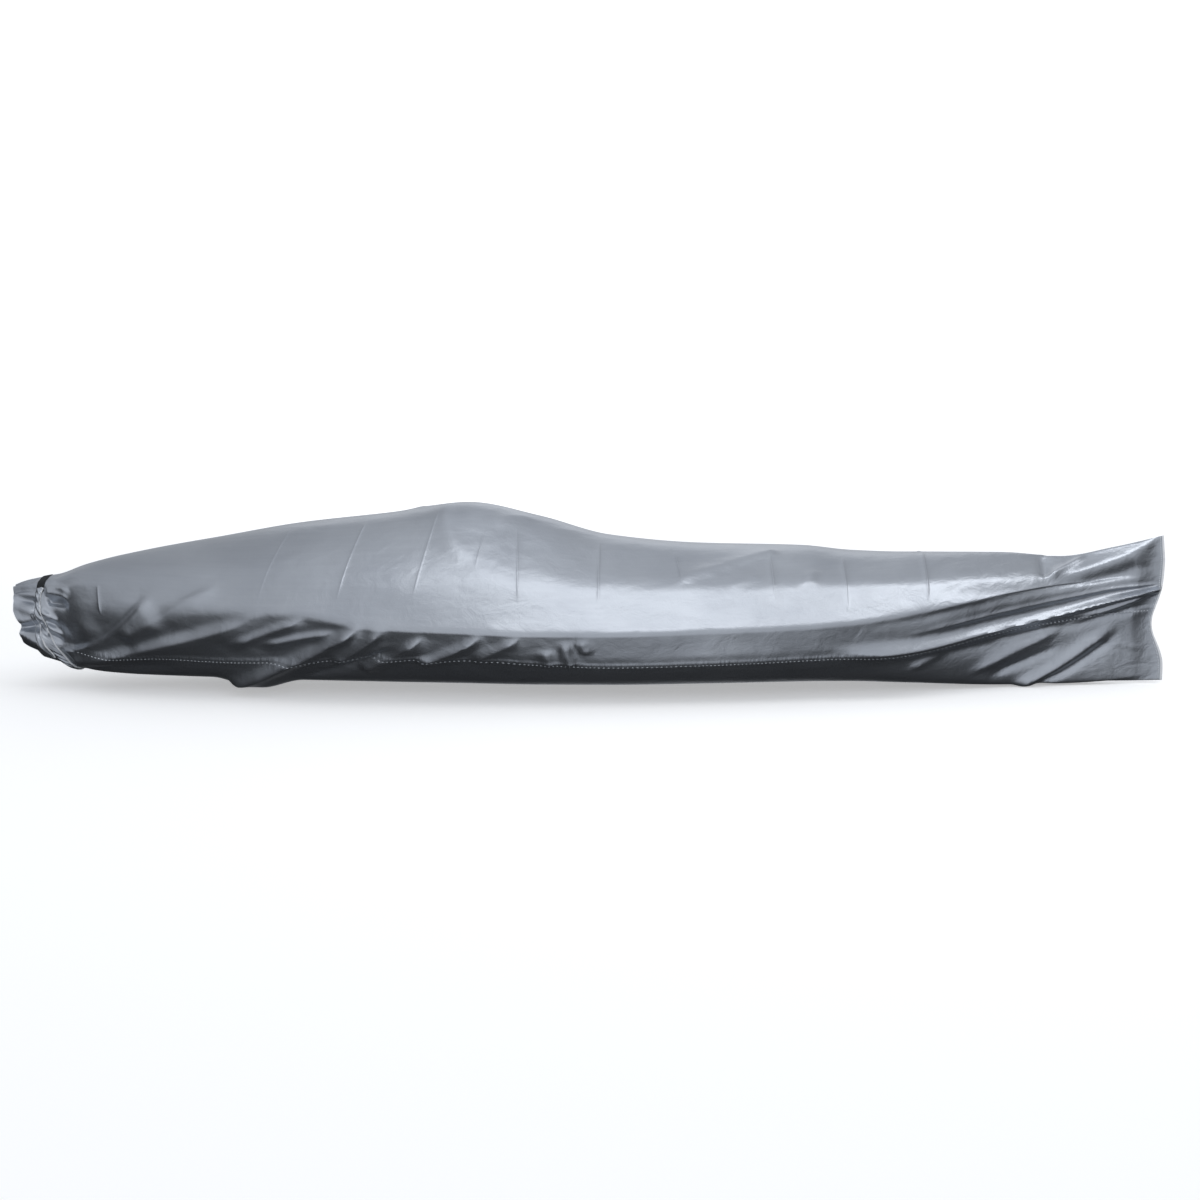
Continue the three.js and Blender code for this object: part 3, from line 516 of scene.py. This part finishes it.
def silver_polyester():
    """Plain woven polyester with a sprayed aluminium coating: satin and metallic, so that it
    mirrors the room softly, with faint streaks along the weft and slack wrinkles from handling."""
    material = bpy.data.materials.new("silver_coated_polyester")
    material.use_nodes = True
    tree = material.node_tree
    tree.nodes.clear()
    uv = add(tree, "ShaderNodeUVMap", uv_map="cloth").outputs["UV"]
    # the coating is a little uneven over hand breadths, and faintly streaked along the weft
    patches = add(tree, "ShaderNodeTexNoise", {"Vector": uv, "Scale": 4.0, "Detail": 4.0})
    streak_map = add(tree, "ShaderNodeMapping", {"Vector": uv, "Scale": (6.0, 90.0, 1.0)})
    streaks = add(tree, "ShaderNodeTexNoise", {"Vector": streak_map.outputs[0], "Scale": 1.0,
                                               "Detail": 2.0})
    uneven = add(tree, "ShaderNodeMix", {"Factor": 0.2, "A": patches.outputs["Fac"],
                                         "B": streaks.outputs["Fac"]})
    spread = add(tree, "ShaderNodeMapRange", {"Value": uneven.outputs[0], "From Min": 0.3,
                                              "From Max": 0.7})
    colour = add(tree, "ShaderNodeMix", data_type="RGBA")
    colour.inputs[6].default_value = linear("#a4a9b1")
    colour.inputs[7].default_value = linear("#b4b9c0")
    tree.links.new(spread.outputs[0], colour.inputs[0])
    # plain weave, 0.5 mm in the real cloth, is drawn at 2 mm and still shows only close by
    weave = [add(tree, "ShaderNodeTexWave", {"Vector": uv, "Scale": 160.0}, bands_direction=way,
                 wave_profile="SIN").outputs["Fac"] for way in ("X", "Y")]
    threads = add(tree, "ShaderNodeMath", {0: weave[0], 1: weave[1]}, operation="MAXIMUM")
    # slack wrinkles of about 50 mm, over wider billows of about 150 mm
    crumple_map = add(tree, "ShaderNodeMapping", {"Vector": uv, "Scale": (16.0, 20.0, 1.0)})
    crumple = add(tree, "ShaderNodeTexNoise", {"Vector": crumple_map.outputs[0], "Scale": 1.0,
                                               "Detail": 5.0, "Roughness": 0.6, "Distortion": 0.6})
    # slack cloth towards the sewn end is crumpled more than the cloth drawn over the kayak
    along = add(tree, "ShaderNodeSeparateXYZ", {"Vector": uv}).outputs["X"]
    slack = add(tree, "ShaderNodeMapRange", {"Value": along, "From Min": 0.7, "From Max": 1.35,
                                             "To Min": 0.35, "To Max": 0.8})
    billow_map = add(tree, "ShaderNodeMapping", {"Vector": uv, "Scale": (5.0, 9.0, 1.0)})
    billow = add(tree, "ShaderNodeTexNoise", {"Vector": billow_map.outputs[0], "Scale": 1.0,
                                              "Detail": 2.0})
    loose = add(tree, "ShaderNodeBump", {"Height": billow.outputs["Fac"], "Distance": 0.02,
                                         "Strength": 0.25})
    soft = add(tree, "ShaderNodeBump", {"Height": crumple.outputs["Fac"], "Distance": 0.0045,
                                        "Strength": slack.outputs[0], "Normal": loose.outputs[0]})
    # the seam draws the cloth into small puckers, about 14 mm apart, that fade over 25 mm
    from_seam = add(tree, "ShaderNodeAttribute", attribute_name="from_seam").outputs["Fac"]
    beside = add(tree, "ShaderNodeMath", {0: from_seam}, operation="ABSOLUTE")
    drawn = add(tree, "ShaderNodeMapRange", {"Value": beside.outputs[0], "From Min": 0.025,
                                             "From Max": 0.002}, interpolation_type="SMOOTHSTEP")
    pucker_map = add(tree, "ShaderNodeMapping", {"Vector": uv, "Scale": (75.0, 12.0, 1.0)})
    puckers = add(tree, "ShaderNodeTexNoise", {"Vector": pucker_map.outputs[0], "Scale": 1.0})
    drawn_in = add(tree, "ShaderNodeMath", {0: puckers.outputs["Fac"], 1: drawn.outputs[0]},
                   operation="MULTIPLY")
    seam_bump = add(tree, "ShaderNodeBump", {"Height": drawn_in.outputs[0], "Distance": 0.006,
                                             "Strength": 0.35, "Normal": soft.outputs[0]})
    fine = add(tree, "ShaderNodeBump", {"Height": threads.outputs[0], "Distance": 0.0002,
                                        "Strength": 0.3, "Normal": seam_bump.outputs[0]})
    # threads show pale and uncoated along a cut edge
    cut = add(tree, "ShaderNodeAttribute", attribute_name="cut_edge").outputs["Fac"]
    frayed = add(tree, "ShaderNodeMapRange", {"Value": cut, "From Min": 0.35, "From Max": 0.8})
    edged = add(tree, "ShaderNodeMix", data_type="RGBA")
    tree.links.new(frayed.outputs[0], edged.inputs[0])
    tree.links.new(colour.outputs[2], edged.inputs[6])
    edged.inputs[7].default_value = linear("#eef0f2")
    coated = add(tree, "ShaderNodeMapRange", {"Value": cut, "From Min": 0.35, "From Max": 0.8,
                                              "To Min": 0.9, "To Max": 0.0})
    shader = add(tree, "ShaderNodeBsdfPrincipled", {"Base Color": edged.outputs[2],
                                                    "Metallic": coated.outputs[0],
                                                    "Roughness": 0.30, "Normal": fine.outputs[0]})
    add(tree, "ShaderNodeOutputMaterial", {"Surface": shader.outputs[0]})
    return material


# Columns are close on the near side, where the folds are sharp, and wide over the top and behind
deck_v = runs([(2, 3, 36), (3, 4, 24), (4, 5, 14), (5, 6, 8), (6, 7, 10), (7, 8, 14)])
grid_u, grid_v, near, far = panel_grid(deck_v, seam_place(rows, -SEAM_LAP),
                                       seam_place(rows, -SEAM_LAP, far=True))
lap = LAP_RISE * (1 - ease((np.minimum(near, far) - LAP_TO) / LAP_FADE))
surface, outward, cloth = cover(grid_u, grid_v)
deck_panel = sheet_object("deck_panel", surface + outward * lap[..., None],
                          surface + outward * (lap - CLOTH)[..., None], cloth, np.minimum(near, far))
silver_cloth = silver_polyester()
deck_panel.data.materials.append(silver_cloth)
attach(deck_panel, "root")
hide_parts("upper_panel")

# Hull panel. The second length of the same cloth, under the kayak from side seam to side seam.
# Its corner hangs flat at the sewn end, and a slack pouch sags under the hull near the tie. Its
# edges reach up behind the deck panel's.
HULL_LAP = SEAM_LAP - 1
hull_v = runs([(-2, -1, 18), (-1, 0, 12), (0, 1, 14), (1, 2, 22)])
grid_u, grid_v, near, far = panel_grid(hull_v, seam_place(rows, HULL_LAP, far=True) - ROUND,
                                       seam_place(rows, HULL_LAP))
surface, outward, cloth = cover(grid_u, grid_v)
hull_panel = sheet_object("hull_panel", surface, surface - outward * CLOTH, cloth,
                          -np.maximum(near, far))
hull_panel.data.materials.append(silver_cloth)
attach(hull_panel, "root")
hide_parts("lower_panel")

# Seam stitches. Pale polyester thread runs along both side seams, over the lower edge of the lap,
# and up both faces of the sewn end, inside its cut edge. The stitches are drawn about twice as
# long and six times as thick as real ones, so that the row shows.
STITCH, STITCH_PITCH, THREAD = 8.0, 12.5, 1.5    # length, spacing and half width of a stitch
SIDE_FROM, SIDE_TO, SIDE_ROW = -1545, 1716, 2.6    # the side rows run SIDE_ROW below the seam
END_FROM, END_TO, END_PITCH = 0.25, 4.9, 0.075     # in v, from the lower corner to the upper one
END_ROW = 12.0         # inside the cut edge
END_LIFT = 0.2
FLATTENED, SUNK = 0.6, 0.3    # its height over its width, and its tips' depth over half its width
END_MM_PER_V = 95.0    # about how much cloth there is for each step of v at the sewn end
around = np.linspace(0, 2 * np.pi, 7)[:-1]
bulge = np.array([0.0, 0.75, 1.0, 0.75, 0.0])[:, None]

# One stitch is a spindle: thread * bulge * (cos, sin) round a line as long as the stitch, flattened,
# with its tips, which are the first ring and the last, sunk into the cloth
lengthwise = np.linspace(-0.5, 0.5, 5)[:, None] * STITCH
crosswise = THREAD * bulge * np.cos(around)
upright = THREAD * (FLATTENED * bulge * np.sin(around) + SUNK * (bulge - 1))


def side_stitches(far):
    """Spindles laid on the folded cloth along a side seam. The far ones are mirrored, because s
    runs against v there, so that their faces also point outwards."""
    u = np.arange(SIDE_FROM, SIDE_TO, STITCH_PITCH)[:, None, None] + lengthwise
    s = (-crosswise if far else crosswise) - SIDE_ROW
    place, outward, _ = cover(u, seam_place(u, s, far))
    return place + outward * (LAP_RISE + upright)[..., None]


def end_stitches(v):
    """Spindles laid up the sewn end at each v."""
    v = v[:, None, None] + lengthwise / END_MM_PER_V
    place, outward, _ = cover(END_X - END_ROW - crosswise, v)
    return place + outward * (END_LIFT + upright)[..., None]


def spindle_faces(count):
    """Faces of so many spindles of 20 points: three rings of 6, then the two tips."""
    side = np.arange(6)
    after = (side + 1) % 6
    tip, other_tip = np.full(6, 18), np.full(6, 19)
    quads = [np.stack([side, after, after + 6, side + 6], -1) + 6 * ring for ring in (0, 1)]
    fans = [np.stack([tip, after, side], -1), np.stack([side + 12, after + 12, other_tip], -1)]
    first = 20 * np.arange(count)[:, None, None]
    return [*(np.concatenate(quads) + first).reshape(-1, 4).tolist(),
            *(np.concatenate(fans) + first).reshape(-1, 3).tolist()]


end_v = np.arange(END_FROM, END_TO, END_PITCH)
stitches = np.concatenate([side_stitches(far=False), side_stitches(far=True),
                           end_stitches(end_v), end_stitches(ROUND - end_v)])
rings, tips = stitches[:, 1:4].reshape(-1, 18, 3), stitches[:, [0, 4], 0]
mesh = bpy.data.meshes.new("seam_stitches")
mesh.from_pydata(np.concatenate([rings, tips], 1).reshape(-1, 3).tolist(), [],
                 spindle_faces(len(stitches)))
mesh.polygons.foreach_set("use_smooth", [True] * len(mesh.polygons))
stitching = bpy.data.objects.new("seam_stitches", mesh)
bpy.context.scene.collection.objects.link(stitching)


def sewing_thread():
    """Polyester sewing thread: pale grey, with a soft lustre."""
    material = bpy.data.materials.new("polyester_sewing_thread")
    material.use_nodes = True
    tree = material.node_tree
    tree.nodes.clear()
    where = add(tree, "ShaderNodeTexCoord").outputs["Object"]
    fuzz = add(tree, "ShaderNodeTexNoise", {"Vector": where, "Scale": 900.0})
    bump = add(tree, "ShaderNodeBump", {"Height": fuzz.outputs["Fac"], "Distance": 0.0003})
    shader = add(tree, "ShaderNodeBsdfPrincipled", {"Base Color": linear("#d2d7dc"), "Roughness": 0.6,
                                                    "Normal": bump.outputs[0]})
    add(tree, "ShaderNodeOutputMaterial", {"Surface": shader.outputs[0]})
    return material


mesh.materials.append(sewing_thread())
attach(stitching, "root")

# Tie. Black webbing, 25 mm wide, goes once round the neck and draws it in. It lies flat over the
# top and is folded narrow inside the strip that covers it lower down.
WEBBING = 25.0
WEBBING_TOP, WEBBING_BACK = 2.0, 0.4    # heights of its two faces over the cloth
NO_SEAM = 300.0        # a distance from the side seams at which the cloth has no seam puckers
TIE_V = [-5, -4, -2, -0.5, 0, 0.9, 1.5, 2.06, 2.6, 3.1, 3.5, 4, 4.6, 5]
TIE_OFFSET = [0, 0, 0, 0, -4, -10, -20, -30, -35, -35, -30, -14, -2, 0]
FOLDED_V, FOLDED_SHARE = [3.5, 3.95], [0.68, 1]    # how narrow it is folded, by v on either side
band_v = np.linspace(-5, 5, 181)[:-1]
band_width = WEBBING * np.interp(np.abs(band_v), FOLDED_V, FOLDED_SHARE)
band_u = TIE_X + np.interp(band_v, TIE_V, TIE_OFFSET) + np.linspace(-0.5, 0.5, 5)[:, None] * band_width
surface, outward, cloth = cover(band_u, band_v)
webbing = sheet_object("tie_band", surface + outward * WEBBING_TOP, surface + outward * WEBBING_BACK,
                       cloth, np.full_like(band_u, NO_SEAM), closed_ring=True)


def polyester_webbing():
    """Flat woven polyester webbing: matt black, with ribs across it every 2 mm and painted shade in the
    grooves between them.
    """
    material = bpy.data.materials.new("black_polyester_webbing")
    material.use_nodes = True
    tree = material.node_tree
    tree.nodes.clear()
    uv = add(tree, "ShaderNodeUVMap", uv_map="cloth").outputs["UV"]
    ribs = add(tree, "ShaderNodeTexWave", {"Vector": uv, "Scale": 160.0}, bands_direction="Y")
    bump = add(tree, "ShaderNodeBump", {"Height": ribs.outputs["Fac"], "Distance": 0.0004})
    # painted shade: the colour is darker in the grooves between the ribs and lighter on their tops
    colour = add(tree, "ShaderNodeMix", data_type="RGBA")
    colour.inputs[6].default_value = linear("#14171a")
    colour.inputs[7].default_value = linear("#23272b")
    tree.links.new(ribs.outputs["Fac"], colour.inputs[0])
    shader = add(tree, "ShaderNodeBsdfPrincipled", {"Base Color": colour.outputs[2], "Roughness": 0.8,
                                                    "Normal": bump.outputs[0]})
    add(tree, "ShaderNodeOutputMaterial", {"Surface": shader.outputs[0]})
    return material


webbing.data.materials.append(polyester_webbing())
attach(webbing, "root")
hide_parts("tie_webbing")

# Strip. Silver cloth, sewn round the neck over the webbing as its casing. Drawn tight, it is
# rolled into a rope with slanting wrinkles, and starts with a folded end below the bare webbing.
CASING_V = [-4.05, -3.5, 0, 0.9, 1.5, 2.2, 3.0, 3.5, 4.05]
CASING_HALF = [15, 12, 14, 14, 15, 14, 12.5, 9, 13]
STRIP = 1.1            # thickness
ROPE_FOOT, ROPE_RISE, WRINKLE = 1.4, 6.5, 1.5
WRINKLES, SLANT, CROWDING = 3.3, 0.7, 1.3    # how many for each step of v, how slanted, how uneven
casing_v = np.linspace(CASING_V[0], CASING_V[-1], 261)[None, :]
w = np.linspace(-1, 1, 15)[:, None]
centre = TIE_X + np.interp(casing_v, TIE_V, TIE_OFFSET)
casing_u = centre + w * np.interp(casing_v, CASING_V, CASING_HALF)
# a flattened arch across the strip, with wrinkles that slant round it and crowd unevenly
rope = (1 - w * w) ** 0.7
wrinkle = np.cos(2 * np.pi * (WRINKLES * casing_v + SLANT * w) + CROWDING * np.sin(5 * casing_v))
lift = ROPE_FOOT + ROPE_RISE * rope + WRINKLE * wrinkle * rope
surface, outward, cloth = cover(casing_u, casing_v)
casing = sheet_object("tie_casing_strip", surface + outward * lift[..., None],
                      surface + outward * (lift - STRIP)[..., None], cloth,
                      np.full_like(casing_u, NO_SEAM))
casing.data.materials.append(silver_cloth)
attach(casing, "root")
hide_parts("tie_casing")

# Loose end of the strip. It is of the same cloth, leaves the casing on the mouth's side and hangs
# down beside it, narrowing to a tip that lies over the rope.
TAIL_V = [1.42, 1.6, 2.0, 2.5, 3.15]
TAIL_OFFSET = [-34, -38, -47, -52, -50]
TAIL_LIFT = [10.5, 10, 6, 4, 4]
TAIL_HALF = [4, 8, 9.5, 9, 8]
TAIL_ARCH, TAIL_WAVE = 2.5, 0.8
tail_v = np.linspace(TAIL_V[0], TAIL_V[-1], 44)[None, :]
w = np.linspace(-1, 1, 9)[:, None]
tail_u = TIE_X + np.interp(tail_v, TAIL_V, TAIL_OFFSET) + w * np.interp(tail_v, TAIL_V, TAIL_HALF)
lift = np.interp(tail_v, TAIL_V, TAIL_LIFT) + TAIL_ARCH * (1 - w * w)
lift = lift + TAIL_WAVE * np.sin(9 * tail_v + 3 * w)
surface, outward, cloth = cover(tail_u, tail_v)
tail = sheet_object("tie_loose_end", surface + outward * lift[..., None],
                    surface + outward * (lift - STRIP)[..., None], cloth,
                    np.full_like(tail_u, NO_SEAM))
tail.data.materials.append(silver_cloth)
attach(tail, "root")
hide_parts("tie_tail")

# Studio. A pale floor that curves up into walls on all sides, in a large white room that darkens
# towards the ground, with soft boxes overhead, behind and off the sewn end, and a lamp on the far
# wall. The floor shows and takes shadows, but sends no light back under the cover.
FLOOR_CURVE = [(6.5, 0), (7.4, 0.12), (8.1, 0.5), (8.5, 1.1), (8.6, 2), (8.6, 9)]    # reach, height
FLOOR_LONGER = 5.4     # the floor reaches this much further along the cover than across it
FLOOR_Z = -0.003       # just under the lowest fold
points = [[x * (reach + FLOOR_LONGER), y * reach, height + FLOOR_Z] for reach, height in FLOOR_CURVE
          for x, y in ((-1, -1), (1, -1), (1, 1), (-1, 1))]
walls = [[4 * i + 4 + k, 4 * i + 4 + (k + 1) % 4, 4 * i + (k + 1) % 4, 4 * i + k]
         for i in range(len(FLOOR_CURVE) - 1) for k in range(4)]
mesh = bpy.data.meshes.new("floor")
mesh.from_pydata(points, [], [[0, 1, 2, 3], *walls])
mesh.polygons.foreach_set("use_smooth", [True] * len(mesh.polygons))
floor = bpy.data.objects.new("floor", mesh)
floor.visible_diffuse = False
floor.visible_glossy = False
floor.visible_shadow = False
bpy.context.scene.collection.objects.link(floor)

# Matt white paint, with a faint glow in place of the light that a large room would bounce onto it
PAINT = {"Base Color": linear("#f1f2f3"), "Roughness": 0.95,
         "Emission Color": (1, 1, 1, 1), "Emission Strength": 0.38}
paint = bpy.data.materials.new("matt_white_paint")
paint.use_nodes = True
for name, value in PAINT.items():
    paint.node_tree.nodes["Principled BSDF"].inputs[name].default_value = value
mesh.materials.append(paint)

LIGHTS = [
    # name, place, y and z that it is tipped towards, width, depth, watts
    ("overhead_box", (0.43, -1.1, 2.5), (0.0, 0.3), 2.0, 1.0, 8),
    ("back_box", (0.2, 2.4, 1.9), (0.0, 0.3), 4.0, 1.2, 5),
    ("end_box", (2.15, -0.75, 2.1), (0.0, 0.3), 1.4, 0.9, 7.5),
    ("backdrop_wash", (0.0, 5.6, 4.2), (8.6, 0.8), 12.0, 1.2, 220),
]
for name, place, aim, width, depth, watts in LIGHTS:
    light = bpy.data.lights.new(name, "AREA")
    light.shape = "RECTANGLE"
    light.size = width
    light.size_y = depth
    light.energy = watts
    lamp = bpy.data.objects.new(name, light)
    lamp.location = place
    lamp.rotation_euler = (math.atan2(aim[0] - place[1], place[2] - aim[1]), 0, 0)
    lamp.visible_camera = False
    bpy.context.scene.collection.objects.link(lamp)

# The room by direction: level = 0.82 z + 0.57 |y| + 1.2 max(y, 0) min(z, 0) - |x - 0.05| is low
# under the cover and towards both ends, where the room is dark, and high in front and above. The
# brightness is then dimmed away from the middle of the cover, and behind it.
world = bpy.data.worlds.new("white_room")
world.use_nodes = True
tree = world.node_tree
way = add(tree, "ShaderNodeTexCoord").outputs["Generated"]
parts = add(tree, "ShaderNodeSeparateXYZ", {"Vector": way}).outputs
across = add(tree, "ShaderNodeMath", {0: parts["Y"]}, operation="ABSOLUTE")
across_share = add(tree, "ShaderNodeMath", {0: across.outputs[0], 1: 0.57}, operation="MULTIPLY")
upward = add(tree, "ShaderNodeMath", {0: parts["Z"], 1: 0.82, 2: across_share.outputs[0]},
             operation="MULTIPLY_ADD")
back = add(tree, "ShaderNodeMath", {0: parts["Y"], 1: 0.0}, operation="MAXIMUM")
down = add(tree, "ShaderNodeMath", {0: parts["Z"], 1: 0.0}, operation="MINIMUM")
low_back = add(tree, "ShaderNodeMath", {0: back.outputs[0], 1: down.outputs[0]}, operation="MULTIPLY")
without_ends = add(tree, "ShaderNodeMath", {0: low_back.outputs[0], 1: 1.2, 2: upward.outputs[0]},
                   operation="MULTIPLY_ADD")
from_middle = add(tree, "ShaderNodeMath", {0: parts["X"], 1: 0.05}, operation="SUBTRACT")
endward = add(tree, "ShaderNodeMath", {0: from_middle.outputs[0]}, operation="ABSOLUTE")
level = add(tree, "ShaderNodeMath", {0: without_ends.outputs[0], 1: endward.outputs[0]},
            operation="SUBTRACT")
room = add(tree, "ShaderNodeMapRange", {"Value": level.outputs[0], "From Min": -0.90, "From Max": 0.05,
                                        "To Min": 0.03, "To Max": 1.02},
           interpolation_type="SMOOTHSTEP")
ends_dim = add(tree, "ShaderNodeMapRange", {"Value": endward.outputs[0], "From Min": 0.02,
                                            "From Max": 0.38, "To Min": 1.0, "To Max": 0.72},
               interpolation_type="SMOOTHSTEP")
back_dim = add(tree, "ShaderNodeMapRange", {"Value": parts["Y"], "From Min": -0.1, "From Max": 0.6,
                                            "To Min": 1.0, "To Max": 0.78},
               interpolation_type="SMOOTHSTEP")
dimmed = add(tree, "ShaderNodeMath", {0: room.outputs[0], 1: ends_dim.outputs[0]}, operation="MULTIPLY")
strength = add(tree, "ShaderNodeMath", {0: dimmed.outputs[0], 1: back_dim.outputs[0]},
               operation="MULTIPLY")
background = tree.nodes["Background"].inputs
background["Color"].default_value = linear("#f2f5fa")
tree.links.new(strength.outputs[0], background["Strength"])
bpy.context.scene.world = world
bpy.context.scene.view_settings.view_transform = "Standard"
